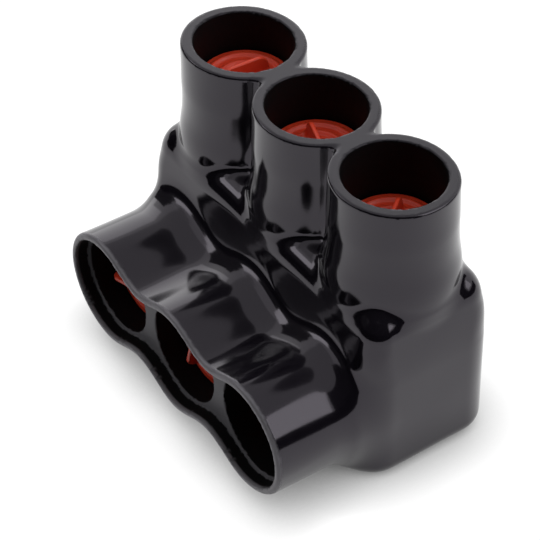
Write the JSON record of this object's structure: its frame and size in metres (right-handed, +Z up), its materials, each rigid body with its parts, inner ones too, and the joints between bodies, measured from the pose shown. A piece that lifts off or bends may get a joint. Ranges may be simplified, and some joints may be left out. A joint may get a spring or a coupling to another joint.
{
  "type": "insulated multi-tap connector",
  "caption": "Insulated terminal block that joins stripped cable ends under set screws, with push-fit plugs closing its wire ports and screw towers.",
  "frame": {"origin": "middle of the flat base under the block, on the middle port's plane", "axes": "+X along the row of ports, -Y out of the wire ports, +Z up out of the screw towers"},
  "size_m": [0.0726, 0.0486, 0.0612],
  "materials": {
    "plastisol": "glossy dipped black plastic, matte where the rims are cut",
    "aluminium": "tin plated, satin",
    "screw_steel": "zinc plated",
    "plug_plastic": "moulded orange-red plastic, satin"
  },
  "bodies": {
    "covered_block": {"insulating_cover": "plastisol", "connector_block": "aluminium"},
    "screw_1": {"set_screw_1": "screw_steel"},
    "screw_2": {"set_screw_2": "screw_steel"},
    "screw_3": {"set_screw_3": "screw_steel"},
    "tower_cap_1": {"screw_plug_1": "plug_plastic"},
    "tower_cap_2": {"screw_plug_2": "plug_plastic"},
    "tower_cap_3": {"screw_plug_3": "plug_plastic"},
    "port_cap_1": {"wire_plug_1": "plug_plastic"},
    "port_cap_2": {"wire_plug_2": "plug_plastic"},
    "port_cap_3": {"wire_plug_3": "plug_plastic"}
  },
  "joints": [
    {"name": "screw_1_travel", "type": "slide", "parent": "covered_block", "child": "screw_1", "axis": [0, 0, 1], "range_m": [-0.0095, 0.003]},
    {"name": "screw_2_travel", "type": "slide", "parent": "covered_block", "child": "screw_2", "axis": [0, 0, 1], "range_m": [-0.0095, 0.003]},
    {"name": "screw_3_travel", "type": "slide", "parent": "covered_block", "child": "screw_3", "axis": [0, 0, 1], "range_m": [-0.0095, 0.003]},
    {"name": "tower_cap_1_pull", "type": "slide", "parent": "covered_block", "child": "tower_cap_1", "axis": [0, 0, 1], "range_m": [0, 0.03]},
    {"name": "tower_cap_2_pull", "type": "slide", "parent": "covered_block", "child": "tower_cap_2", "axis": [0, 0, 1], "range_m": [0, 0.03]},
    {"name": "tower_cap_3_pull", "type": "slide", "parent": "covered_block", "child": "tower_cap_3", "axis": [0, 0, 1], "range_m": [0, 0.03]},
    {"name": "port_cap_1_pull", "type": "slide", "parent": "covered_block", "child": "port_cap_1", "axis": [0, -1, 0], "range_m": [0, 0.03]},
    {"name": "port_cap_2_pull", "type": "slide", "parent": "covered_block", "child": "port_cap_2", "axis": [0, -1, 0], "range_m": [0, 0.03]},
    {"name": "port_cap_3_pull", "type": "slide", "parent": "covered_block", "child": "port_cap_3", "axis": [0, -1, 0], "range_m": [0, 0.03]}
  ]
}
